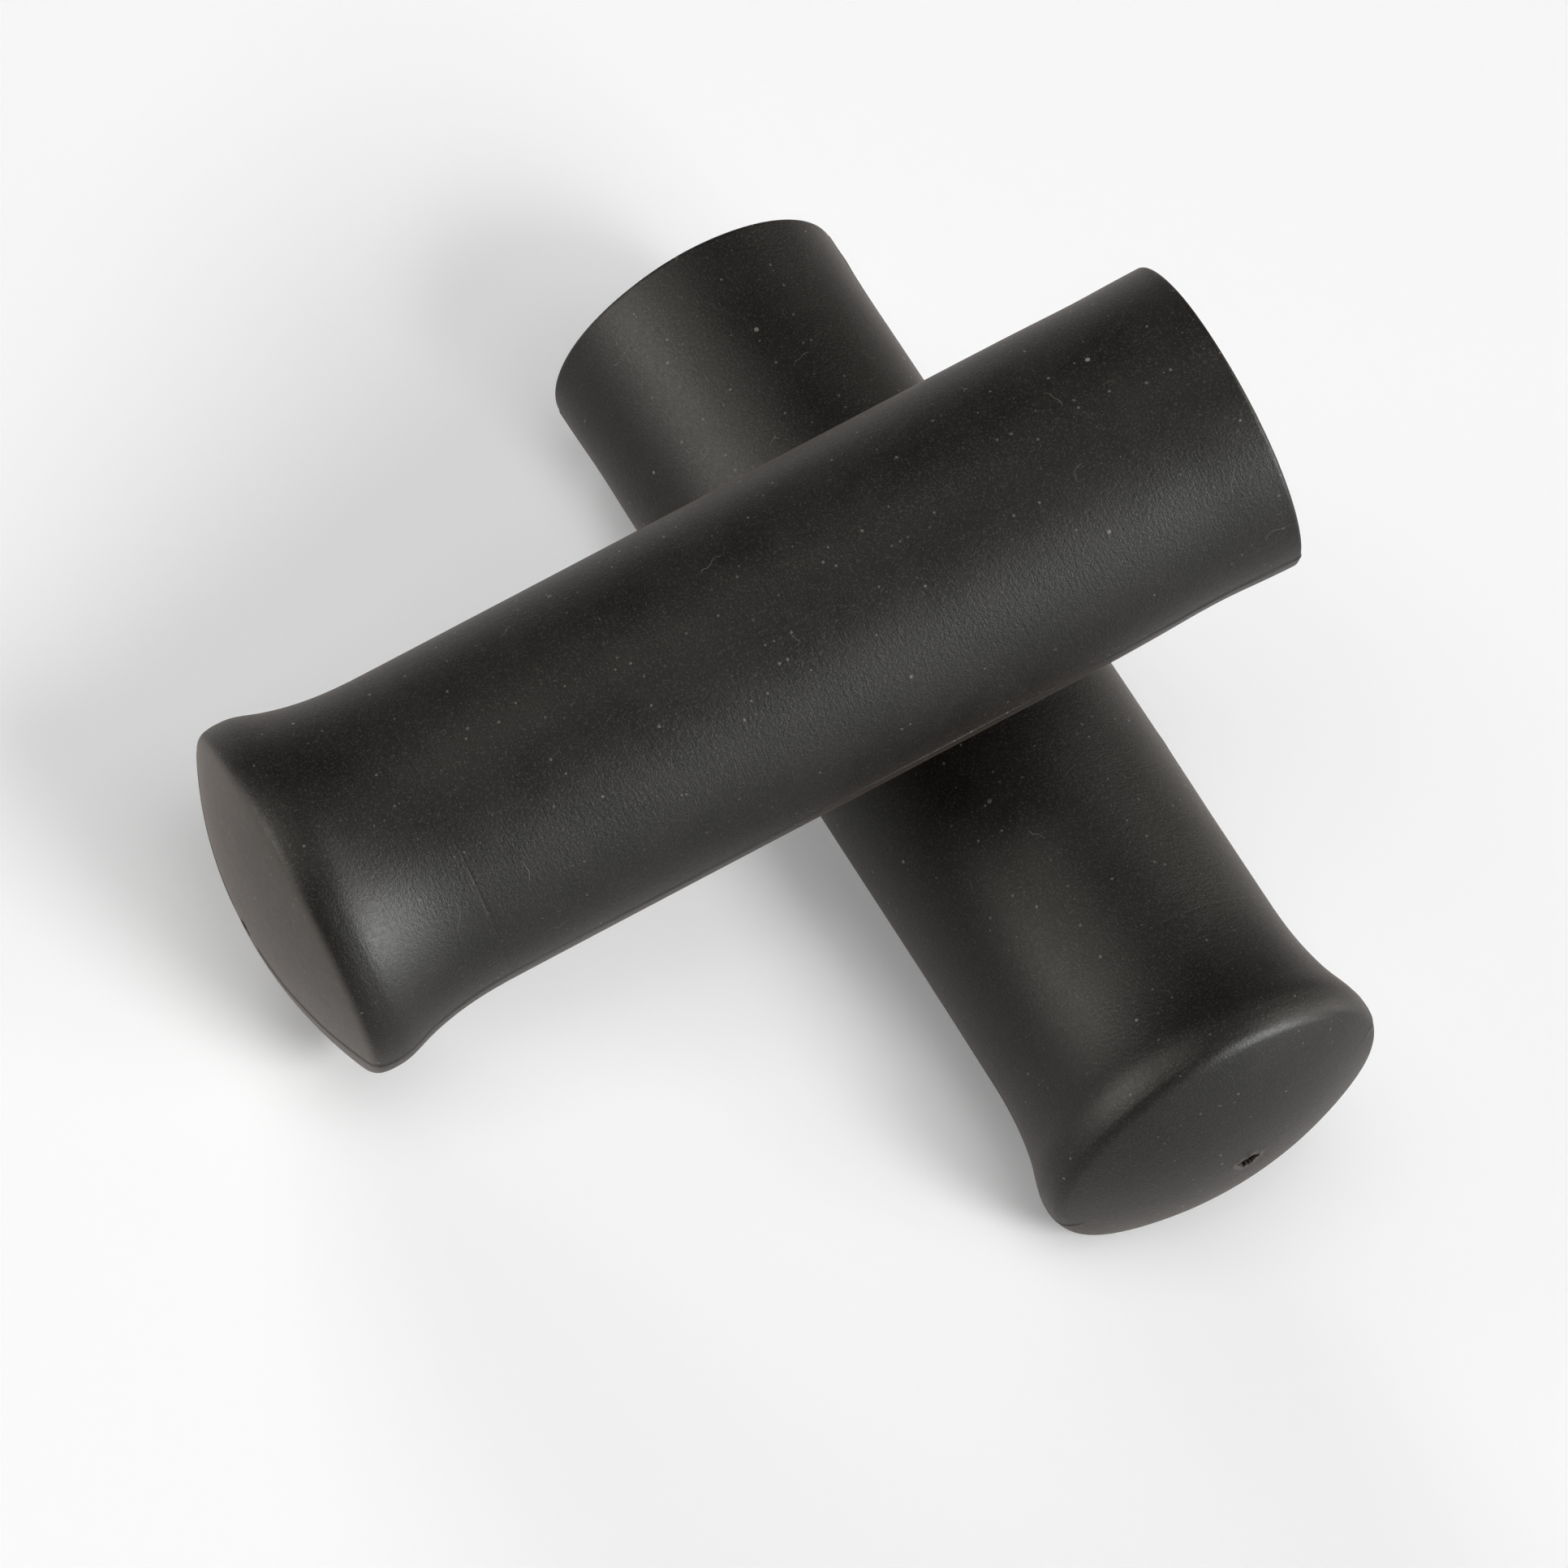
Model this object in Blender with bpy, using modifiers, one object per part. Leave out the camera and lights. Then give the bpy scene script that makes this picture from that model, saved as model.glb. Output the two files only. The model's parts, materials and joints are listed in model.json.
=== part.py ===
"""Two slip-on rubber grips for bar ends, one lying across the other.

Each grip is a single moulding: a domed closed end with a tight edge, a swelling rim, a flare that runs down to
a plain tube, and an open mouth that slides over the end of a handlebar. A small vent in the dome lets the air out.
The lower grip lies on the ground. The upper grip stands on its rim and leans over the lower one.

Metres, +Z up. The origin is at ground level, in the middle of the pair.
Run: blender --background --python part.py
"""
from math import acos, asin, atan, atan2, cos, exp, hypot, pi, radians, sin, sqrt

import bpy
from mathutils import Euler, Vector

MM = 0.001

# Outside of one grip. Its own origin is the middle of its mouth, and its own +Z runs to the domed end.
LENGTH = 105.5 * MM
RIM_DIAMETER = 36.5 * MM
RIM_ROUND = 7.2 * MM
RIM_TURN = radians(80)
DOME_EDGE_ROUND = 1.8 * MM
DOME_RADIUS = 39.4 * MM
BODY_DIAMETER = 32.0 * MM
FLARE_LENGTH = 21.1 * MM
FLARE_POWER = 2.54
MOUTH_DIAMETER = 32.26 * MM
MOUTH_ROUND = 0.4 * MM
PINCH_DEPTH = 0.11 * MM
PINCH_FROM_MOUTH = 9.0 * MM
PINCH_WIDTH = 5.0 * MM

# Inside of one grip.
BORE_DIAMETER = 22.0 * MM
BORE_LEAD_IN = 0.8 * MM
END_WALL = 6.0 * MM
VENT_DIAMETER = 1.6 * MM

# How the two grips lie.
CROSSING_FROM_MOUTH = 48.96 * MM
UPPER_LEAN = radians(25.97)
UPPER_YAW = radians(-1.18)
CLEARANCE = 0.3 * MM

# Fineness of the turned surface.
TURN_STEPS = 48
DOME_STEPS = 6
EDGE_STEPS = 7
ROUND_STEPS = 4
FLARE_STEPS = 9
BODY_STEPS = 9
MOUTH_STEPS = 3
MERGE_DISTANCE = 0.01 * MM

RUBBER_COLOUR = (0.030, 0.028, 0.026, 1.0)
RUBBER_ROUGHNESS = 0.6

# Worked out from the sizes above.
BODY_RADIUS = BODY_DIAMETER / 2
MOUTH_RADIUS = MOUTH_DIAMETER / 2
BORE_RADIUS = BORE_DIAMETER / 2
VENT_RADIUS = VENT_DIAMETER / 2
RIM_CENTRE_RADIUS = RIM_DIAMETER / 2 - RIM_ROUND
EDGE_CENTRE_RADIUS = RIM_CENTRE_RADIUS + (RIM_ROUND - DOME_EDGE_ROUND) * sin(RIM_TURN)
DOME_EDGE_ANGLE = asin(EDGE_CENTRE_RADIUS / (DOME_RADIUS - DOME_EDGE_ROUND))
EDGE_CENTRE_HEIGHT = LENGTH - DOME_RADIUS + (DOME_RADIUS - DOME_EDGE_ROUND) * cos(DOME_EDGE_ANGLE)
RIM_CENTRE_HEIGHT = EDGE_CENTRE_HEIGHT - (RIM_ROUND - DOME_EDGE_ROUND) * cos(RIM_TURN)
FLARE_FOOT = LENGTH - FLARE_LENGTH
BORE_DEPTH = LENGTH - END_WALL


def clear_scene():
    for obj in list(bpy.data.objects):
        bpy.data.objects.remove(obj, do_unlink=True)


def arc(centre_radius, centre_height, radius, start, end, steps):
    """Points (radius, height) of an arc. Angles count from the +Z direction, outwards and down."""
    angles = [start + (end - start) * i / steps for i in range(steps + 1)]
    return [(centre_radius + radius * sin(a), centre_height + radius * cos(a)) for a in angles]


def rim_end_angle():
    """Angle on the rim's round where the flare leaves it without a crease."""
    angle = pi / 2
    for _ in range(12):
        drop = RIM_CENTRE_RADIUS + RIM_ROUND * sin(angle) - BODY_RADIUS
        run = RIM_CENTRE_HEIGHT + RIM_ROUND * cos(angle) - FLARE_FOOT
        angle = pi / 2 + atan(FLARE_POWER * drop / run)
    return angle


def flare(top_radius, top_height):
    """The hollow curve from the rim's round down to the tube."""
    points = []
    for i in range(1, FLARE_STEPS + 1):
        t = i / FLARE_STEPS
        radius = BODY_RADIUS + (top_radius - BODY_RADIUS) * (1 - t) ** FLARE_POWER
        points.append((radius, top_height + (FLARE_FOOT - top_height) * t))
    return points


def tube_radius(height):
    """Outer radius of the tube: a slight taper, with a shallow pinch just before the mouth."""
    taper = BODY_RADIUS + (MOUTH_RADIUS - BODY_RADIUS) * (1 - height / FLARE_FOOT)
    return taper - PINCH_DEPTH * exp(-((height - PINCH_FROM_MOUTH) / PINCH_WIDTH) ** 2)


def tube():
    """The tube from the foot of the flare to the mouth's round, closer together where it is pinched."""
    points = []
    for i in range(1, BODY_STEPS + 1):
        share = 1 - i / BODY_STEPS
        height = MOUTH_ROUND + (FLARE_FOOT - MOUTH_ROUND) * share ** 1.6
        points.append((tube_radius(height), height))
    return points


def outer_profile():
    """Down the outside, from the vent's edge on the dome to the flat face of the mouth."""
    vent_angle = asin(VENT_RADIUS / DOME_RADIUS)
    points = arc(0, LENGTH - DOME_RADIUS, DOME_RADIUS, vent_angle, DOME_EDGE_ANGLE, DOME_STEPS)
    points += arc(EDGE_CENTRE_RADIUS, EDGE_CENTRE_HEIGHT, DOME_EDGE_ROUND, DOME_EDGE_ANGLE, RIM_TURN,
                  EDGE_STEPS)[1:]
    points += arc(RIM_CENTRE_RADIUS, RIM_CENTRE_HEIGHT, RIM_ROUND, RIM_TURN, rim_end_angle(),
                  ROUND_STEPS)[1:]
    points += flare(*points[-1])
    points += tube()
    points += arc(points[-1][0] - MOUTH_ROUND, MOUTH_ROUND, MOUTH_ROUND, pi / 2, pi, MOUTH_STEPS)[1:]
    return points


def inner_profile():
    """In over the mouth's lead-in, up the bore, across its floor and up the vent."""
    return [
        (BORE_RADIUS + BORE_LEAD_IN, 0),
        (BORE_RADIUS, BORE_LEAD_IN),
        (BORE_RADIUS, BORE_DEPTH / 2),
        (BORE_RADIUS, BORE_DEPTH),
        (VENT_RADIUS, BORE_DEPTH),
    ]


def rubber(name):
    material = bpy.data.materials.new(name)
    material.use_nodes = True
    shader = material.node_tree.nodes["Principled BSDF"]
    shader.inputs["Base Color"].default_value = RUBBER_COLOUR
    shader.inputs["Roughness"].default_value = RUBBER_ROUGHNESS
    shader.inputs["Metallic"].default_value = 0.0
    return material


def turned_grip(name, collection):
    """One grip: its closed profile turned about its own Z axis."""
    profile = outer_profile() + inner_profile()
    corners = [(radius, 0, height) for radius, height in profile]
    edges = [(i, (i + 1) % len(corners)) for i in range(len(corners))]
    mesh = bpy.data.meshes.new(name)
    mesh.from_pydata(corners, edges, [])
    mesh.materials.append(rubber(name + "_rubber"))
    grip = bpy.data.objects.new(name, mesh)
    collection.objects.link(grip)
    screw = grip.modifiers.new("turn", "SCREW")
    screw.axis = "Z"
    screw.angle = 2 * pi
    screw.steps = TURN_STEPS
    screw.render_steps = TURN_STEPS
    screw.use_merge_vertices = True
    screw.merge_threshold = MERGE_DISTANCE
    screw.use_smooth_shade = True
    return grip


def reach(axis, direction):
    """How far a grip goes from its own origin in a direction, when it points along an axis."""
    along = axis.dot(direction)
    across = sqrt(max(0.0, 1 - along * along))
    return max(height * along + radius * across for radius, height in outer_profile())


def lying_tilt():
    """Slope of a grip that lies on the ground: the line that touches its rim and its mouth's edge."""
    mouth_centre_radius = tube_radius(MOUTH_ROUND) - MOUTH_ROUND
    rise = RIM_CENTRE_RADIUS - mouth_centre_radius
    run = RIM_CENTRE_HEIGHT - MOUTH_ROUND
    return atan2(rise, run) + asin((RIM_ROUND - MOUTH_ROUND) / hypot(rise, run))


def on_ground(axis):
    """Height of a grip's origin when its lowest point is at ground level."""
    return reach(axis, Vector((0, 0, -1)))


def lean_over(lower_origin, lower_axis, upper_axis):
    """Origin of the upper grip, which stands on the ground and clears the lower grip's tube."""
    apart = lower_axis.cross(upper_axis).normalized()
    if apart.z < 0:
        apart.negate()
    lower_point = lower_origin + CROSSING_FROM_MOUTH * lower_axis
    lower_radius = tube_radius(CROSSING_FROM_MOUTH)
    upper_radius = BODY_RADIUS
    for _ in range(6):
        upper_point = lower_point + (lower_radius + upper_radius + CLEARANCE) * apart
        from_mouth = (on_ground(upper_axis) - upper_point.z) / -upper_axis.z
        upper_radius = tube_radius(from_mouth)
    return upper_point - from_mouth * upper_axis


def middle(placed, direction):
    """Middle of the pair along a direction. Each placed grip is an (origin, axis) pair."""
    furthest = max(origin.dot(direction) + reach(axis, direction) for origin, axis in placed)
    nearest = min(origin.dot(direction) - reach(axis, -direction) for origin, axis in placed)
    return (furthest + nearest) / 2


def main():
    clear_scene()
    collection = bpy.data.collections.new("bar_end_grips")
    bpy.context.scene.collection.children.link(collection)

    lower_turn = Euler((pi / 2 - lying_tilt(), 0, 0))
    upper_turn = Euler((0, -(pi / 2 + UPPER_LEAN), UPPER_YAW))
    lower_axis = lower_turn.to_matrix() @ Vector((0, 0, 1))
    upper_axis = upper_turn.to_matrix() @ Vector((0, 0, 1))
    lower_origin = Vector((0, 0, on_ground(lower_axis)))
    upper_origin = lean_over(lower_origin, lower_axis, upper_axis)
    placed = [(lower_origin, lower_axis), (upper_origin, upper_axis)]
    centre = Vector((middle(placed, Vector((1, 0, 0))), middle(placed, Vector((0, 1, 0))), 0))

    lower = turned_grip("lower_grip", collection)
    lower.location = lower_origin - centre
    lower.rotation_euler = lower_turn
    upper = turned_grip("upper_grip", collection)
    upper.location = upper_origin - centre
    upper.rotation_euler = upper_turn


main()
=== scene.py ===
"""Looks of the pair of bar end grips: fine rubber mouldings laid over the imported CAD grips."""
import json
from math import cos, pi, radians, sin

import bpy
import numpy as np
from mathutils import Matrix, Vector


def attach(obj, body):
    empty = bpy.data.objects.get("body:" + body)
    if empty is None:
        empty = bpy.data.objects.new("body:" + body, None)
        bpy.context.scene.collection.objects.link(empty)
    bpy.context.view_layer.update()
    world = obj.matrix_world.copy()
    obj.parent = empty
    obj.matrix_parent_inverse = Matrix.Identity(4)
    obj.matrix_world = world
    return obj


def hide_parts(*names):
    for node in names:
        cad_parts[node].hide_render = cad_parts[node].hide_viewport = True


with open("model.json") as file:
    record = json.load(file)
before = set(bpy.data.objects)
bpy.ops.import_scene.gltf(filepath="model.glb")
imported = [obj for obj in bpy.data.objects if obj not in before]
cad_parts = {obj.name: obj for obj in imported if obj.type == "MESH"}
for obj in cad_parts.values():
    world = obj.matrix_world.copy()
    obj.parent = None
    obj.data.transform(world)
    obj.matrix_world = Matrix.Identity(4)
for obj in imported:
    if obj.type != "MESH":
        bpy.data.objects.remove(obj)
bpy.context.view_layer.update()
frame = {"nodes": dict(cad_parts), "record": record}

MM = 0.001

# Camera.
CAMERA_AIM = Vector((14.542, 3.435, 10.937)) * MM
CAMERA_AZIMUTH = radians(-57.63)
CAMERA_ELEVATION = radians(50.35)
CAMERA_ROLL = radians(32.03)
CAMERA_DISTANCE = 869.08 * MM
CAMERA_LENS = 203.24
SENSOR_WIDTH = 36.0
CAMERA_CLIP_START = 0.01

# Stage. Each light: name, azimuth and elevation in degrees, width and height in metres, power in watts,
# what it lights (matt surfaces, the rubber's gloss, or both), and its tint.
FLOOR_SIZE = 12
FLOOR_COLOUR = (0.8, 0.8, 0.8, 1)
FLOOR_GLOW = 0.22
BACKDROP_COLOUR = (0.86, 0.86, 0.86, 1)
LIGHT_DISTANCE = 2.4
WHITE = (1.0, 1.0, 1.0)
WARM = (1.0, 0.95, 0.87)
LIGHTS = [
    ("window_glow", 8, 45, 1.0, 1.0, 27.0, "matt", WHITE),
    ("window_side", 42, 33, 1.25, 1.25, 7.0, "matt", WHITE),
    ("back_wall", 177, 14, 1.25, 1.25, 33.0, "matt", WHITE),
    ("ceiling_left", 264, 66, 1.25, 1.8, 13.5, "matt", WHITE),
    ("ceiling_front", 327, 70, 1.25, 1.25, 9.5, "matt", WHITE),
    ("left_wall", 237, 14, 1.25, 1.25, 12.0, "both", WHITE),
    ("window", 31, 33, 0.62, 1.1, 126.0, "gloss", WHITE),
    ("window_low", 27, 14, 1.25, 1.25, 16.0, "gloss", WHITE),
    ("right_panel", 87, 14, 1.25, 1.25, 22.0, "gloss", WARM),
    ("right_lamp", 77, 52, 1.25, 1.25, 41.0, "gloss", WARM),
    ("left_panel", 250, 14, 1.8, 1.25, 61.0, "gloss", WARM),
    ("left_lamp", 241, 50, 0.62, 0.62, 16.5, "gloss", WARM),
]

# Reading the CAD grips back: what counts as level, as past the bore's wall, and as a gap between rings.
SAME_LEVEL = 0.01 * MM
PAST_WALL = 0.1 * MM
RING_GAP = 0.02 * MM

# Fineness of the grips' surfaces.
DOME_ROW = 0.45 * MM
DOME_ROW_REACH = 3 * MM
CURVE_ROW = 0.28 * MM
EDGE_ROW = 0.11 * MM
EDGE_BAND = (3.6 * MM, 5.7 * MM)
TUBE_ROW = 0.8 * MM
LIP_ROW = 0.12 * MM
LIP_REACH = 1.5 * MM
TURN_COLUMNS = 256
BORE_ROWS = 24
SHARP_ANGLE = radians(38)
LEAST_COLUMN_STEP = 0.0012
BORE_FLOOR_SHARES = (0.97, 0.7, 0.4, 0.2)

# The mould's parting line: a low ridge of flash along both sides of a grip, across its dome too.
RIDGE_ANGLE = {"lower": radians(36.0), "upper": radians(-7.0)}
RIDGE_HEIGHT = 0.11 * MM
RIDGE_HALF_WIDTH = 0.10 * MM
RIDGE_SECOND = 0.38 * MM
RIDGE_SECOND_SHARE = 0.45
RIDGE_WANDER = 0.05 * MM
RIDGE_WANDER_LENGTH = 9 * MM
RIDGE_WEAR_LENGTH = 6 * MM
RIDGE_COLUMNS_MM = [0.05, 0.1, 0.16, 0.24, 0.31, 0.38, 0.46, 0.6, 0.8]
NIB_HEIGHT = 0.15 * MM
NIB_OFFSET = 0.1 * MM
NIB_SPACING = 2.2 * MM
NIB_RAGGED = 1.0 * MM
NIB_LEAST = 0.45
FLASH_ON_DOME = {"lower": 0.0, "upper": 1.0}
FLASH_FADE_RADII = (15.5 * MM, 17 * MM)
DOME_FOOT = 98 * MM
DOME_EDGE = (100.7 * MM, 101.5 * MM)

# A brownish bloom covers the upper grip's dome, up to its edge. Its pale brown colour is partly that bloom
# and partly a painted reflection of the pale floor, which the dome faces at a glancing angle.
BLOOM_AND_REFLECTION = {"lower": 0.0, "upper": 1.0}

# The witness line where the mould's end piece meets its body, round the foot of the flare.
WITNESS_FROM_APEX = 19.6 * MM
WITNESS_DEPTH = 0.018 * MM
WITNESS_HALF_WIDTH = 0.13 * MM
WITNESS_ROW = 0.09 * MM

# The lower grip's vent is torn and a little off the middle of its dome; the upper one's is clean.
VENT_MIDDLE = {"lower": (1.0 * MM, -0.3 * MM), "upper": (0.0, 0.0)}
VENT_TEAR = {"lower": 1.0, "upper": 0.12}
VENT_LIP = 0.12 * MM
VENT_LIP_ANGLE = radians(200)
VENT_SQUEEZE = 0.22
VENT_SQUEEZE_RADII = (0.7 * MM, 1.6 * MM)
VENT_SETTLE_RADII = (2.0 * MM, 6.0 * MM)
VENT_RADIUS = 0.8 * MM
VENT_SINK = 0.6 * MM
VENT_DOME_REACH = 12 * MM
OUTER_ROWS_FROM = 2.6 * MM

# The vent's rings from inside to out: radius in millimetres, rise, and how far tears spread the ring. A rise
# below 0 sinks into the vent and one above 0 lifts the lip.
VENT_RINGS = [
    (0.80, -3.2, 0.5),
    (0.84, -1.6, 0.8),
    (0.88, -0.7, 1.2),
    (0.93, -0.2, 1.3),
    (1.0, 0.6, 1.2),
    (1.10, 1.0, 1.0),
    (1.22, 0.75, 0.7),
    (1.38, 0.35, 0.45),
    (1.62, 0.12, 0.2),
    (1.95, 0.0, 0.0),
]

# The upper grip's tube is pressed in a little under its mouth.
DENT_DEPTH = 0.28 * MM
DENT_FROM_MOUTH = 9.5 * MM
DENT_LENGTH = 7.0 * MM
DENT_ANGLE = radians(-35.0)
DENT_HALF_TURN = 0.7

# Rubber.
ROUGHNESS = 0.5
SPECULAR = 0.24
GRAIN_DEPTH = 0.06 * MM
ROUGHNESS_DRIFT = 0.015
GRAIN_ROUGHNESS = 0.03
GRAIN_SHARE = 0.6
BRUSHING_SHARE = 0.28
SPECKLE_SHARE = 0.3
SHEEN_WEIGHT = 0.08
SHEEN_ROUGHNESS = 0.35
SHEEN_TINT = (1.0, 0.72, 0.55, 1)
DARK = (0.0032, 0.0027, 0.0022, 1)
PALE = (0.0062, 0.0054, 0.0046, 1)
SPECKLE_COLOUR = (0.050, 0.045, 0.040, 1)
# Colour of the dome's bloom: partly bloom, partly a painted reflection of the pale floor.
BLOOM_AND_REFLECTION_COLOUR = (0.075, 0.064, 0.056, 1)
SEAM_COLOUR = (0.085, 0.080, 0.070, 1)
TORN_COLOUR = (0.170, 0.140, 0.118, 1)
DUST_COLOUR = (0.24, 0.22, 0.20, 1)

# Dust specks: spacing and largest radius in millimetres, and the share of cells that hold one.
LARGE_SPECKS = (2.6, 0.30, 0.30)
SMALL_SPECKS = (0.9, 0.19, 0.6)
SMALL_SPECK_STRENGTH = 0.55

# Lint, in millimetres: spacing of its cells, the share that hold a fibre, its curl's radius, the soft edge of
# the fibre, and how far it sways. A fibre is the arc where the cosine round its curl is past these ends.
LINT_SPACING = 8.0
LINT_SHARE = 0.2
LINT_STRENGTH = 0.32
LINT_CURL = (0.9, 2.6)
LINT_EDGE = (0.01, 0.05)
LINT_ENDS = (0.72, 0.9)
LINT_SWAY = 1.6
LINT_SWING = 6.28
TUBE_RADIUS_MM = 16.0

# Slow unevenness of soft rubber.
WAVE_HEIGHT = 0.016 * MM


# ---------------------------------------------------------------- frame

def mount(name):
    """Place and outward direction of a mount."""
    found = next(m for m in frame["record"]["mounts"] if m["name"] == name)
    return Vector(found["pos_m"]), Vector(found["axis"]).normalized()


def grip_matrix(name):
    """A grip's own frame in the world: origin in the middle of its mouth, +Z to its dome, +X level."""
    point, outward = mount(name + "_mouth_face")
    along = -outward
    level = Vector((0, 0, 1)).cross(along).normalized()
    turn = Matrix((level, along.cross(level), along)).transposed().to_4x4()
    rough = Matrix.Translation(point) @ turn
    local = local_vertices(name, rough)
    middle = (local.max(axis=0) + local.min(axis=0)) / 2
    return rough @ Matrix.Translation((middle[0], middle[1], 0))


def local_vertices(name, matrix):
    """The CAD grip's vertices in the frame of a matrix."""
    mesh = frame["nodes"][name + "_grip"].data
    flat = np.empty(len(mesh.vertices) * 3)
    mesh.vertices.foreach_get("co", flat)
    inverse = np.array(matrix.inverted())
    return flat.reshape(-1, 3) @ inverse[:3, :3].T + inverse[:3, 3]


def cad_profile(name, matrix):
    """The turned shape read back from the CAD grip.

    Gives its outer rings from dome to mouth, its bore's radius, its lead-in's radius and its bore's depth.
    """
    local = local_vertices(name, matrix)
    radius = np.hypot(local[:, 0], local[:, 1])
    height = local[:, 2]
    stop = matrix.inverted() @ mount(name + "_bar_stop")[0]
    depth = stop.z
    on_floor = abs(height - depth) < SAME_LEVEL
    bore = radius[on_floor].max()
    lead = radius[height < SAME_LEVEL].min()
    outer = (radius > lead + PAST_WALL) | (height > depth + PAST_WALL)
    order = np.argsort(-height[outer])
    radius, height = radius[outer][order], height[outer][order]
    breaks = np.flatnonzero(np.diff(-height) > RING_GAP) + 1
    rings = [(r.mean(), h.mean()) for r, h in zip(np.split(radius, breaks), np.split(height, breaks))]
    return np.array(rings), bore, lead, depth


def smooth_through(points, at):
    """Curve through points that never swings past them, read at distances along them."""
    span = np.hypot(*np.diff(points, axis=0).T)
    distance = np.concatenate([[0], np.cumsum(span)])
    chord = np.diff(points, axis=0) / span[:, None]
    before, after = span[:-1, None], span[1:, None]
    same_way = chord[:-1] * chord[1:] > 0
    weight = 3 * (before + after)
    mean = weight / ((2 * after + before) / np.where(same_way, chord[:-1], 1)
                     + (after + 2 * before) / np.where(same_way, chord[1:], 1))
    slope = np.vstack([chord[:1], np.where(same_way, mean, 0), chord[-1:]])
    index = np.clip(np.searchsorted(distance, at) - 1, 0, len(points) - 2)
    reach = span[index][:, None]
    t = (at[:, None] - distance[index][:, None]) / reach
    start, end = points[index], points[index + 1]
    return ((2 * t**3 - 3 * t**2 + 1) * start + (t**3 - 2 * t**2 + t) * reach * slope[index]
            + (3 * t**2 - 2 * t**3) * end + (t**3 - t**2) * reach * slope[index + 1])


# ---------------------------------------------------------------- grips

def row_step(from_apex, height):
    """Distance to the next row, finer where the surface turns sharply or carries relief."""
    if height < LIP_REACH:
        return LIP_ROW
    if EDGE_BAND[0] < from_apex < EDGE_BAND[1]:
        return EDGE_ROW
    if abs(from_apex - WITNESS_FROM_APEX) < 4 * WITNESS_HALF_WIDTH:
        return WITNESS_ROW
    if from_apex > WITNESS_FROM_APEX:
        return TUBE_ROW
    if from_apex > DOME_ROW_REACH:
        return CURVE_ROW
    return DOME_ROW


def outer_rows(rings):
    """Fine outer profile from the dome's middle to the mouth: radius and height of each row."""
    mirrored = rings[:3][::-1] * (-1, 1)
    points = np.vstack([mirrored, rings])
    lengths = np.hypot(*np.diff(points, axis=0).T)
    distance = np.concatenate([[0], np.cumsum(lengths)])
    at = [(distance[2] + distance[3]) / 2]
    apex = smooth_through(points, np.array(at))[0][1]
    while at[-1] < distance[-1]:
        height = smooth_through(points, np.array(at[-1:]))[0][1]
        at.append(at[-1] + row_step(apex - height, height))
    at[-1] = distance[-1]
    return smooth_through(points, np.array(at))


def turn_angles(name, radius):
    """Angles of the columns: even steps, with closer ones on both parting lines."""
    near = [0.0] + RIDGE_COLUMNS_MM + [-offset for offset in RIDGE_COLUMNS_MM]
    angles = list(np.linspace(-pi, pi, TURN_COLUMNS, endpoint=False))
    angles += [RIDGE_ANGLE[name] + side + offset * MM / radius for side in (0, pi) for offset in near]
    wrapped = np.sort((np.array(angles) + pi) % (2 * pi) - pi)
    keep = np.concatenate([[True], np.diff(wrapped) > LEAST_COLUMN_STEP])
    return wrapped[keep]


def ripple(values, seed, terms=5):
    """Smooth random wave of a few uneven sines, about -1 to 1."""
    chance = np.random.default_rng(seed)
    total = np.zeros_like(values)
    for _ in range(terms):
        total += np.sin(values * chance.uniform(0.5, 1.6) + chance.uniform(0, 2 * pi))
    return total / terms ** 0.5 / 1.4


def smooth_step(values, low, high):
    t = np.clip((values - low) / (high - low), 0, 1)
    return t * t * (3 - 2 * t)


def flash(name, place):
    """Height of the parting line's flash: a fine ridge, a second fainter one beside it, and torn nibs."""
    angle = RIDGE_ANGLE[name]
    x, y, z = place
    off = x * -sin(angle) + y * cos(angle)
    side = np.where(x * cos(angle) + y * sin(angle) > 0, 1.0, -1.0)
    off = off * side + RIDGE_WANDER * ripple(z / RIDGE_WANDER_LENGTH, 11)
    along = z * side + 0.7 * (x * cos(angle) + y * sin(angle))
    nibs = np.clip(ripple(along / NIB_SPACING, 21) - NIB_LEAST, 0, 1)
    nibs *= np.clip(ripple(along / NIB_RAGGED, 22), 0, 1)
    wear = 0.65 + 0.35 * ripple(along / RIDGE_WEAR_LENGTH, 23)
    ridge = RIDGE_HEIGHT * wear * np.exp(-(off / RIDGE_HALF_WIDTH) ** 2)
    second = RIDGE_SECOND_SHARE * RIDGE_HEIGHT * np.exp(-((off - RIDGE_SECOND) / RIDGE_HALF_WIDTH) ** 2)
    nib = NIB_HEIGHT * nibs * np.exp(-((off - NIB_OFFSET) / (2 * RIDGE_HALF_WIDTH)) ** 2)
    outwards = smooth_step(np.hypot(x, y), *FLASH_FADE_RADII)
    kept = FLASH_ON_DOME[name] + (1 - FLASH_ON_DOME[name]) * outwards
    return (ridge + second + nib) * np.where(z > DOME_FOOT, kept, 1)


def relief(name, place, from_apex):
    """Height of all fine relief above the turned surface."""
    x, y, z = place
    turn = np.arctan2(y, x)
    height = flash(name, place)
    ring = (from_apex - WITNESS_FROM_APEX) / WITNESS_HALF_WIDTH
    height -= WITNESS_DEPTH * np.exp(-ring ** 2) * (0.7 + 0.3 * np.sin(3 * turn + 1))
    height += WAVE_HEIGHT * ripple(z / (7 * MM), 31) * np.sin(2 * turn + ripple(z / (18 * MM), 32))
    height += WAVE_HEIGHT * ripple((x + y) / (4 * MM), 33) * ripple(z / (11 * MM), 34)
    if name == "upper":
        away = (turn - DENT_ANGLE + pi) % (2 * pi) - pi
        along = (z - DENT_FROM_MOUTH) / DENT_LENGTH
        height -= DENT_DEPTH * np.exp(-along ** 2) * np.exp(-(away / DENT_HALF_TURN) ** 2)
    return height


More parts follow.
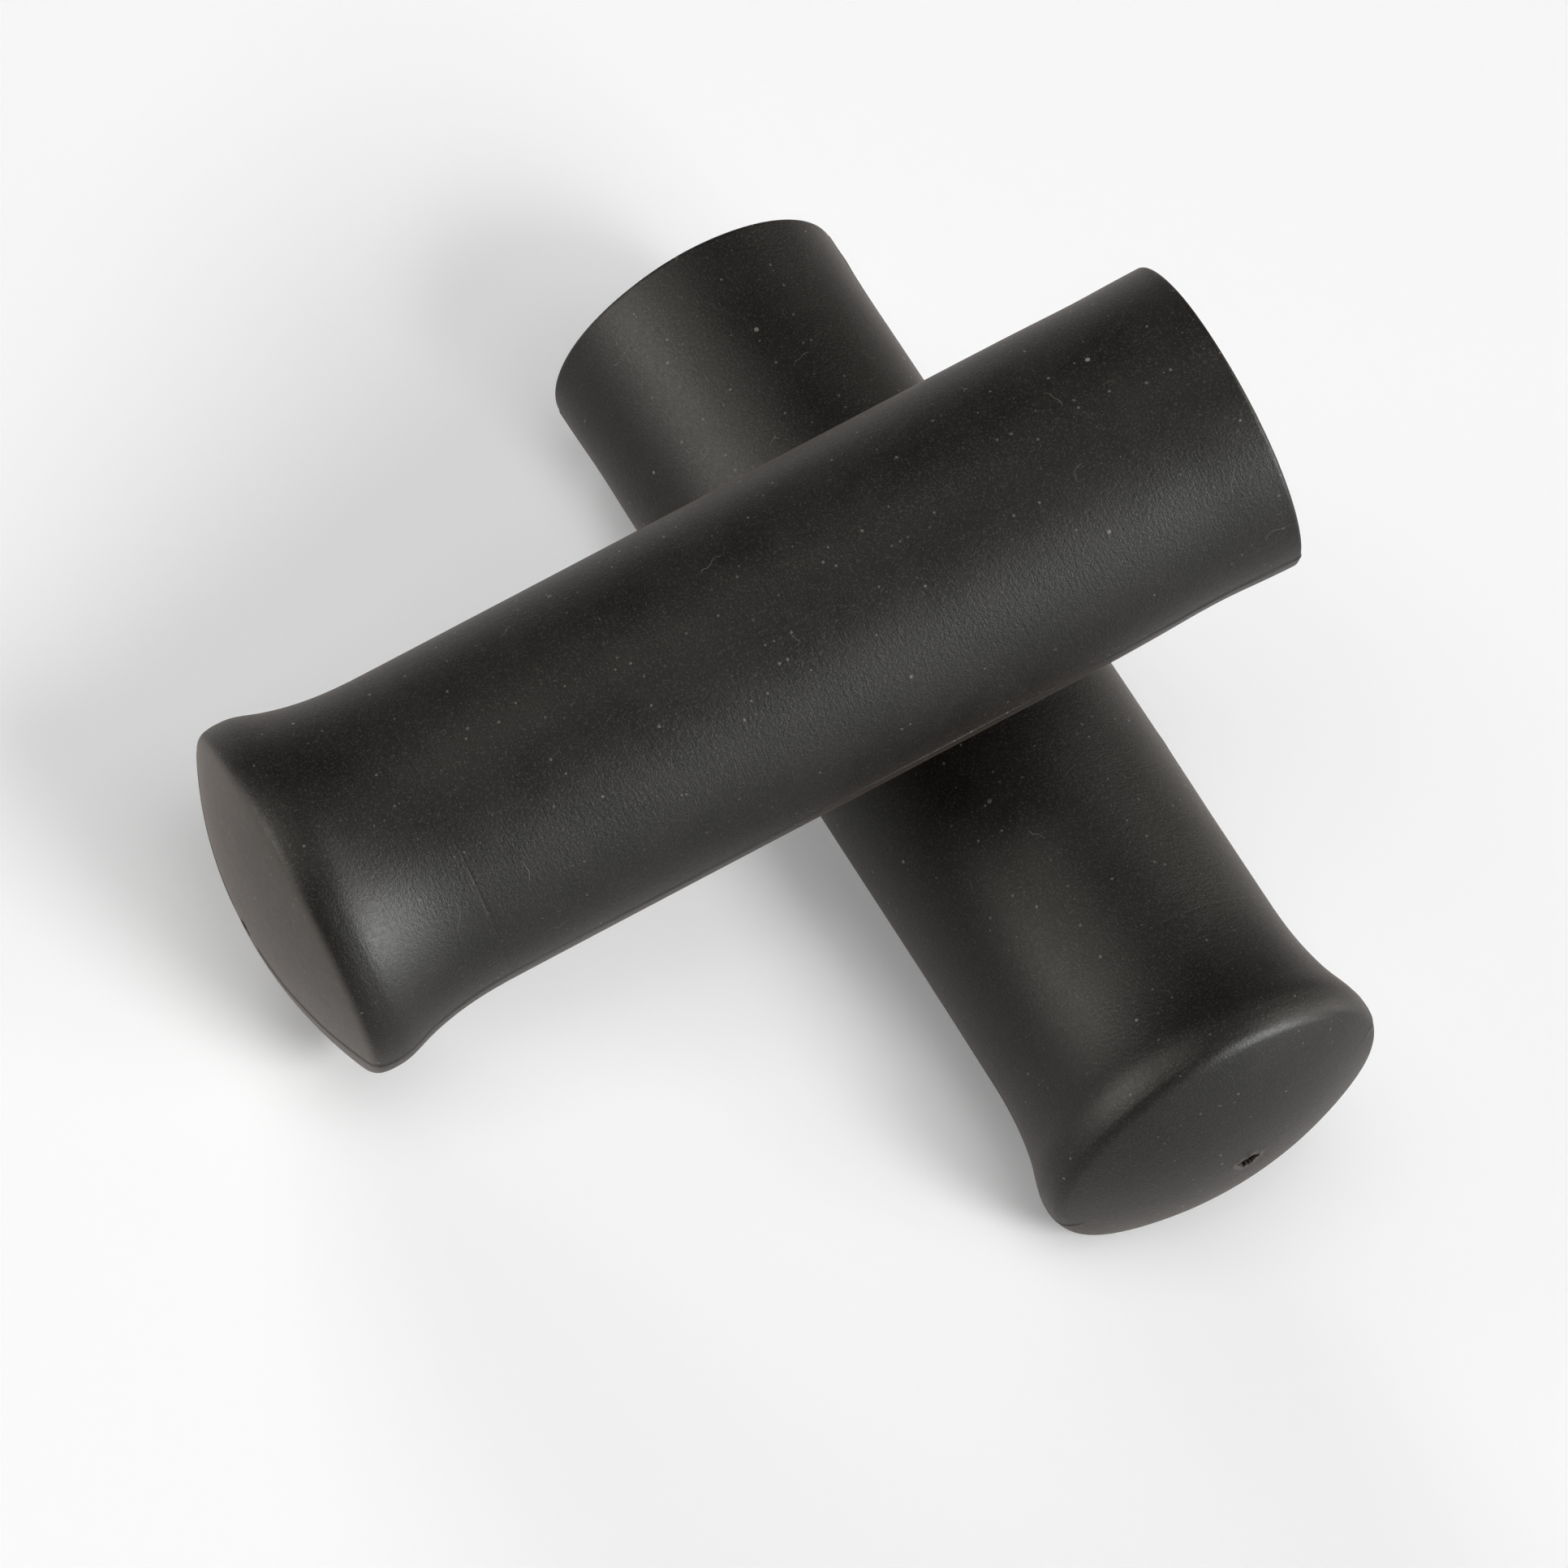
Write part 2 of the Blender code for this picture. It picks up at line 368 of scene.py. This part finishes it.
def round_ripple(angles, seed, low=2, high=9):
    """Smooth random wave that closes on itself round a ring, about -1 to 1."""
    chance = np.random.default_rng(seed)
    waves = range(low, high)
    return sum(np.sin(k * angles + chance.uniform(0, 2 * pi)) for k in waves) / len(waves) ** 0.5 / 1.4


def vent_rings(name, dome_rows, angles):
    """Rings from inside the vent up and out over its torn lips: x, y, height, torn, seam, and bloom with its
    painted floor reflection.
    """
    middle = VENT_MIDDLE[name]
    tear = VENT_TEAR[name]
    ragged = tear * (0.16 * round_ripple(angles, 41, 2, 6) + 0.10 * round_ripple(angles, 42, 6, 16))
    radii, rise, spread = np.array(VENT_RINGS).T[:, :, None]
    radius = (radii + spread * ragged) * MM
    x = middle[0] + radius * np.cos(angles) * (1 + 0.15 * tear)
    squeeze = VENT_SQUEEZE * tear * smooth_step(-radius, -VENT_SQUEEZE_RADII[1], -VENT_SQUEEZE_RADII[0])
    y = middle[1] + radius * np.sin(angles) * (1 - squeeze)
    dome = np.interp(np.hypot(x, y), *dome_rows.T)
    lip = VENT_LIP * tear * np.where(rise > 0, 1 + 0.6 * round_ripple(angles, 43, 2, 8), 1)
    sunk = np.where(rise < 0, VENT_SINK, 0) * rise
    height = dome + np.where(rise > 0, rise, 0) * lip + sunk
    sides = 0.45 + 0.55 * np.clip(np.cos(angles - VENT_LIP_ANGLE), -0.4, 1) ** 2
    torn = np.clip(1.25 - abs(radii - 1.24) / 0.22, 0, 1) * tear * sides
    torn = torn * (0.8 + 0.3 * round_ripple(angles, 44, 3, 14))
    # The bloom on the vent's lips also carries the painted reflection of the pale floor.
    bloom_and_reflection = BLOOM_AND_REFLECTION[name] * (rise >= 0) + 0 * x
    return np.stack([x, y, height, torn, 0 * x, bloom_and_reflection], axis=-1)


def grip_mesh(name, matrix):
    """One closed skin: vent, dome, rim, flare and tube outside, then mouth, bore and bore floor inside."""
    rings, bore, lead, depth = cad_profile(name, matrix)
    rows = outer_rows(rings)
    angles = turn_angles(name, rings[len(rings) // 2][0])
    circle = np.stack([np.cos(angles), np.sin(angles)], axis=-1)
    apex = rows[0][1]

    dome_rows = rows[:np.argmax(rows[:, 0] > VENT_DOME_REACH)]
    vent = vent_rings(name, dome_rows, angles)
    outer = rows[rows[:, 0] > OUTER_ROWS_FROM]
    slope = np.gradient(outer, axis=0)
    slope /= np.hypot(*slope.T)[:, None]
    settle = 1 - smooth_step(outer[:, 0], *VENT_SETTLE_RADII)
    centre = settle[:, None] * np.array(VENT_MIDDLE[name])
    flat = outer[:, 0, None, None] * circle + centre[:, None, :]
    on_dome = np.interp(np.hypot(flat[..., 0], flat[..., 1]), *dome_rows.T)
    height = np.where(settle[:, None] > 0, on_dome, outer[:, 1, None])
    place = (flat[..., 0], flat[..., 1], height)
    seam = np.clip(flash(name, place) / RIDGE_HEIGHT, 0, 1)
    # Bloom over the upper dome, which also paints the pale floor's reflection there.
    bloom_and_reflection = BLOOM_AND_REFLECTION[name] * smooth_step(height, *DOME_EDGE)
    lift = relief(name, place, apex - height)
    flat += (lift * -slope[:, 1, None])[..., None] * circle
    height = height + lift * slope[:, 0, None]
    outside = np.stack([flat[..., 0], flat[..., 1], height, 0 * height, seam, bloom_and_reflection + 0 * height], axis=-1)

    inner = [(lead, 0.0), (bore, lead - bore)]
    inner += [(bore, h) for h in np.linspace(lead - bore, depth, BORE_ROWS)[1:]]
    inner += [(share * bore, depth) for share in BORE_FLOOR_SHARES]
    inner = np.array(inner)
    inside = np.concatenate([inner[:, 0, None, None] * circle,
                             inner[:, 1, None, None] * np.ones((1, len(angles), 1)),
                             np.zeros((len(inner), len(angles), 3))], axis=-1)
    foot_ring = VENT_RADIUS * circle + VENT_MIDDLE[name]
    foot = np.column_stack([foot_ring, np.full(len(angles), depth), np.zeros((len(angles), 3))])[None]
    grid = np.concatenate([foot, vent, outside, inside])

    count, turns = grid.shape[:2]
    row, column = np.meshgrid(np.arange(count), np.arange(turns), indexing="ij")
    nxt = (column + 1) % turns
    below = (row + 1) % count
    faces = np.stack([row * turns + column, below * turns + column, below * turns + nxt, row * turns + nxt],
                     axis=-1).reshape(-1, 4)
    own = grid[..., :3].reshape(-1, 3)
    turn = np.array(matrix)
    mesh = bpy.data.meshes.new(name)
    mesh.from_pydata((own @ turn[:3, :3].T + turn[:3, 3]).tolist(), [], faces.tolist())
    mesh.shade_smooth()
    mesh.set_sharp_from_angle(angle=SHARP_ANGLE)
    mesh.attributes.new("own_place", "FLOAT_VECTOR", "POINT").data.foreach_set("vector", own.ravel())
    for index, attribute in enumerate(("torn", "seam", "bloom_and_reflection"), start=3):
        values = mesh.attributes.new(attribute, "FLOAT", "POINT").data
        values.foreach_set("value", grid[..., index].ravel())
    return mesh


def make_grip(name):
    matrix = grip_matrix(name)
    mesh = grip_mesh(name, matrix)
    grip = bpy.data.objects.new(name + "_grip_rubber", mesh)
    bpy.context.scene.collection.objects.link(grip)
    grip.data.materials.append(rubber(name))
    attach(grip, name)
    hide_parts(name + "_grip")
    return grip


# ---------------------------------------------------------------- rubber

class Nodes:
    """A material's node tree, with one call per node. Sockets are given by name, as numbers or as links."""

    def __init__(self, name):
        self.material = bpy.data.materials.new(name)
        self.material.use_nodes = True
        self.tree = self.material.node_tree

    def add(self, kind, settings=None, **sockets):
        node = self.tree.nodes.new(kind)
        for key, value in (settings or {}).items():
            setattr(node, key, value)
        for key, value in sockets.items():
            self.plug(node.inputs[int(key[1:]) if key[1:].isdigit() else key.replace("_", " ")], value)
        return node

    def plug(self, socket, value):
        if isinstance(value, bpy.types.NodeSocket):
            self.tree.links.new(value, socket)
        else:
            socket.default_value = value

    def attribute(self, name, output):
        return self.add("ShaderNodeAttribute", {"attribute_name": name}).outputs[output]

    def math(self, operation, *values):
        sockets = {f"n{i}": value for i, value in enumerate(values)}
        return self.add("ShaderNodeMath", {"operation": operation}, **sockets).outputs[0]

    def span(self, value, low, high, start=0.0, end=1.0):
        """Value carried from low..high to start..end, softly, and held at the ends."""
        node = self.add("ShaderNodeMapRange", {"interpolation_type": "SMOOTHSTEP"}, Value=value)
        node.inputs["From Min"].default_value = low
        node.inputs["From Max"].default_value = high
        node.inputs["To Min"].default_value = start
        node.inputs["To Max"].default_value = end
        return node.outputs["Result"]

    def scaled(self, vector, x, y, z):
        node = self.add("ShaderNodeVectorMath", {"operation": "MULTIPLY"}, n0=vector)
        node.inputs[1].default_value = (x, y, z)
        return node.outputs[0]

    def noise(self, vector, scale, detail=2.0, roughness=0.5):
        node = self.add("ShaderNodeTexNoise", Vector=vector, Scale=scale, Detail=detail, Roughness=roughness)
        return node.outputs[0]

    def blend(self, amount, start, end):
        node = self.add("ShaderNodeMix", {"data_type": "RGBA"})
        self.plug(node.inputs["Factor"], amount)
        self.plug(node.inputs["A"], start)
        self.plug(node.inputs["B"], end)
        return node.outputs["Result"]


def specks(nodes, place, spacing, largest, share):
    """Round dust specks: one in some of the cells, of a random size."""
    cells = nodes.add("ShaderNodeTexVoronoi", Vector=place, Scale=1 / spacing)
    chance = nodes.add("ShaderNodeSeparateColor", Color=cells.outputs["Color"])
    size = nodes.span(chance.outputs["Red"], 1 - share, 1.0, 0.3 * largest / spacing, largest / spacing)
    chosen = nodes.span(chance.outputs["Red"], 1 - share, 1.001 - share)
    inner = nodes.math("SUBTRACT", size, cells.outputs["Distance"])
    strength = nodes.math("POWER", chance.outputs["Green"], 2.5)
    disc = nodes.math("MULTIPLY", nodes.span(inner, 0.0, 0.4 * largest / spacing), strength)
    return nodes.math("MULTIPLY", disc, chosen)


def fibres(nodes, place, spacing, share):
    """Short curled lint fibres lying on the surface: an arc in some of the cells of the unrolled surface."""
    split = nodes.add("ShaderNodeSeparateXYZ", Vector=place)
    turn = nodes.math("ARCTAN2", split.outputs["Y"], split.outputs["X"])
    around = nodes.math("MULTIPLY", turn, TUBE_RADIUS_MM)
    sheet = nodes.add("ShaderNodeCombineXYZ", X=around, Y=split.outputs["Z"]).outputs[0]
    sway = nodes.add("ShaderNodeTexNoise", Vector=sheet, Scale=0.5, Detail=1.0)
    shift = nodes.add("ShaderNodeVectorMath", {"operation": "MULTIPLY_ADD"}, n0=sway.outputs["Color"],
                      n2=sheet)
    shift.inputs[1].default_value = (LINT_SWAY, LINT_SWAY, 0.0)
    cells = nodes.add("ShaderNodeTexVoronoi", {"voronoi_dimensions": "2D"}, Vector=shift.outputs[0],
                      Scale=1 / spacing, Randomness=0.6)
    chance = nodes.add("ShaderNodeSeparateColor", Color=cells.outputs["Color"])
    away = nodes.math("MULTIPLY", cells.outputs["Distance"], spacing)
    curl = nodes.span(chance.outputs["Green"], 0.0, 1.0, *LINT_CURL)
    beside = nodes.math("ABSOLUTE", nodes.math("SUBTRACT", away, curl))
    line = nodes.span(beside, *LINT_EDGE, 1.0, 0.0)
    there = nodes.add("ShaderNodeVectorMath", {"operation": "SUBTRACT"}, n0=shift.outputs[0],
                      n1=cells.outputs["Position"])
    local = nodes.add("ShaderNodeSeparateXYZ", Vector=there.outputs[0])
    bearing = nodes.math("ARCTAN2", local.outputs["Y"], local.outputs["X"])
    swung = nodes.math("ADD", bearing, nodes.math("MULTIPLY", chance.outputs["Blue"], LINT_SWING))
    piece = nodes.span(nodes.math("COSINE", swung), *LINT_ENDS)
    chosen = nodes.span(chance.outputs["Red"], 1 - share, 1.001 - share)
    return nodes.math("MULTIPLY", nodes.math("MULTIPLY", line, piece), chosen)


def rubber(name):
    """Matt black rubber: fine grain, faint brushing round the tube, bloom with a painted reflection of the
    floor, dust, lint and torn flash.
    """
    nodes = Nodes(name + "_rubber")
    place = nodes.scaled(nodes.attribute("own_place", "Vector"), 1000, 1000, 1000)
    # The place is in millimetres, so each scale below is per millimetre.
    grain = nodes.noise(place, 2.6, 3.0, 0.65)
    speckle = nodes.noise(place, 5.5, 1.0, 0.5)
    brushing = nodes.noise(nodes.scaled(place, 0.7, 0.7, 5.5), 1.0, 3.0, 0.6)
    patches = nodes.noise(place, 0.16, 3.0, 0.55)
    mottle = nodes.noise(place, 1.1, 2.0, 0.5)

    colour = nodes.blend(nodes.span(patches, 0.35, 0.65), DARK, PALE)
    colour = nodes.blend(nodes.span(speckle, 0.5, 0.78, 0.0, 0.6), colour, SPECKLE_COLOUR)
    # Bloom on the dome, mixed with a painted reflection of the pale floor.
    bloom_and_reflection = nodes.math("MULTIPLY", nodes.attribute("bloom_and_reflection", "Fac"), nodes.span(mottle, 0.2, 0.8, 0.85, 1.0))
    colour = nodes.blend(bloom_and_reflection, colour, BLOOM_AND_REFLECTION_COLOUR)
    seam = nodes.math("MULTIPLY", nodes.attribute("seam", "Fac"), nodes.span(grain, 0.35, 0.6, 0.5, 1.0))
    colour = nodes.blend(seam, colour, SEAM_COLOUR)
    torn = nodes.math("MULTIPLY", nodes.attribute("torn", "Fac"), nodes.span(grain, 0.3, 0.6, 0.6, 1.0))
    colour = nodes.blend(torn, colour, TORN_COLOUR)
    large = specks(nodes, place, *LARGE_SPECKS)
    small = nodes.math("MULTIPLY", specks(nodes, place, *SMALL_SPECKS), SMALL_SPECK_STRENGTH)
    dust = nodes.math("MAXIMUM", large, small)
    lint = nodes.math("MULTIPLY", fibres(nodes, place, LINT_SPACING, LINT_SHARE), LINT_STRENGTH)
    litter = nodes.math("MAXIMUM", dust, lint)
    colour = nodes.blend(litter, colour, DUST_COLOUR)

    rough = nodes.math(
        "ADD",
        nodes.span(patches, 0.3, 0.7, ROUGHNESS - ROUGHNESS_DRIFT, ROUGHNESS + ROUGHNESS_DRIFT),
        nodes.span(grain, 0.3, 0.7, -GRAIN_ROUGHNESS, GRAIN_ROUGHNESS),
    )
    rough = nodes.math("MAXIMUM", rough, nodes.math("MULTIPLY", litter, 0.9))
    rough = nodes.math("MAXIMUM", rough, nodes.math("MULTIPLY", torn, 0.8))

    height = nodes.math("ADD", nodes.math("MULTIPLY", grain, GRAIN_SHARE),
                        nodes.math("MULTIPLY", brushing, BRUSHING_SHARE))
    height = nodes.math("ADD", height, nodes.math("MULTIPLY", speckle, SPECKLE_SHARE))
    bump = nodes.add("ShaderNodeBump", Strength=1.0, Distance=GRAIN_DEPTH, Height=height)
    shader = nodes.tree.nodes["Principled BSDF"]
    nodes.plug(shader.inputs["Base Color"], colour)
    nodes.plug(shader.inputs["Roughness"], rough)
    nodes.plug(shader.inputs["Normal"], bump.outputs[0])
    shader.inputs["Specular IOR Level"].default_value = SPECULAR
    shader.inputs["Sheen Weight"].default_value = SHEEN_WEIGHT
    shader.inputs["Sheen Roughness"].default_value = SHEEN_ROUGHNESS
    shader.inputs["Sheen Tint"].default_value = SHEEN_TINT
    return nodes.material


# ---------------------------------------------------------------- stage

def make_floor():
    """A wide matt floor. Its faint glow stands for the daylight that the whole pale room gives back to it."""
    bpy.ops.mesh.primitive_plane_add(size=FLOOR_SIZE)
    floor = bpy.context.object
    floor.name = "floor"
    material = bpy.data.materials.new("floor")
    material.use_nodes = True
    shader = material.node_tree.nodes["Principled BSDF"]
    shader.inputs["Base Color"].default_value = FLOOR_COLOUR
    shader.inputs["Roughness"].default_value = 1.0
    shader.inputs["Specular IOR Level"].default_value = 0.0
    shader.inputs["Emission Color"].default_value = (1, 1, 1, 1)
    shader.inputs["Emission Strength"].default_value = FLOOR_GLOW
    floor.data.materials.append(material)


def direction(azimuth, elevation):
    """From the object towards a place seen at that azimuth and elevation."""
    return Vector((sin(azimuth) * cos(elevation), -cos(azimuth) * cos(elevation), sin(elevation)))


def make_camera():
    back = direction(CAMERA_AZIMUTH, CAMERA_ELEVATION)
    level = Vector((cos(CAMERA_AZIMUTH), sin(CAMERA_AZIMUTH), 0))
    up = back.cross(level)
    right = cos(CAMERA_ROLL) * level + sin(CAMERA_ROLL) * up
    turn = Matrix((right, back.cross(right), back)).transposed()
    data = bpy.data.cameras.new("camera")
    data.lens = CAMERA_LENS
    data.sensor_width = SENSOR_WIDTH
    data.clip_start = CAMERA_CLIP_START
    camera = bpy.data.objects.new("camera", data)
    camera.matrix_world = Matrix.Translation(CAMERA_AIM + CAMERA_DISTANCE * back) @ turn.to_4x4()
    bpy.context.scene.collection.objects.link(camera)
    bpy.context.scene.camera = camera


def make_light(name, azimuth, elevation, width, height, power, lit, tint):
    """A soft panel in the room.

    Some only light the matt surfaces, and some only show in the rubber's gloss.
    """
    data = bpy.data.lights.new(name, "AREA")
    data.shape = "ELLIPSE"
    data.size = width
    data.size_y = height
    data.energy = power
    data.color = tint
    light = bpy.data.objects.new(name, data)
    towards = direction(radians(azimuth), radians(elevation))
    light.location = towards * LIGHT_DISTANCE
    light.rotation_mode = "QUATERNION"
    light.rotation_quaternion = towards.to_track_quat("Z", "Y")
    light.visible_diffuse = lit != "gloss"
    light.visible_glossy = lit != "matt"
    bpy.context.scene.collection.objects.link(light)


def make_world():
    """A pale backdrop behind the floor's edge. It gives no light."""
    world = bpy.data.worlds.new("studio")
    bpy.context.scene.world = world
    world.use_nodes = True
    world.node_tree.nodes["Background"].inputs["Color"].default_value = BACKDROP_COLOUR
    world.cycles_visibility.diffuse = False
    world.cycles_visibility.glossy = False


make_camera()
bpy.context.scene.view_settings.view_transform = "Standard"
make_floor()
for settings in LIGHTS:
    make_light(*settings)
make_world()
make_grip("lower")
make_grip("upper")
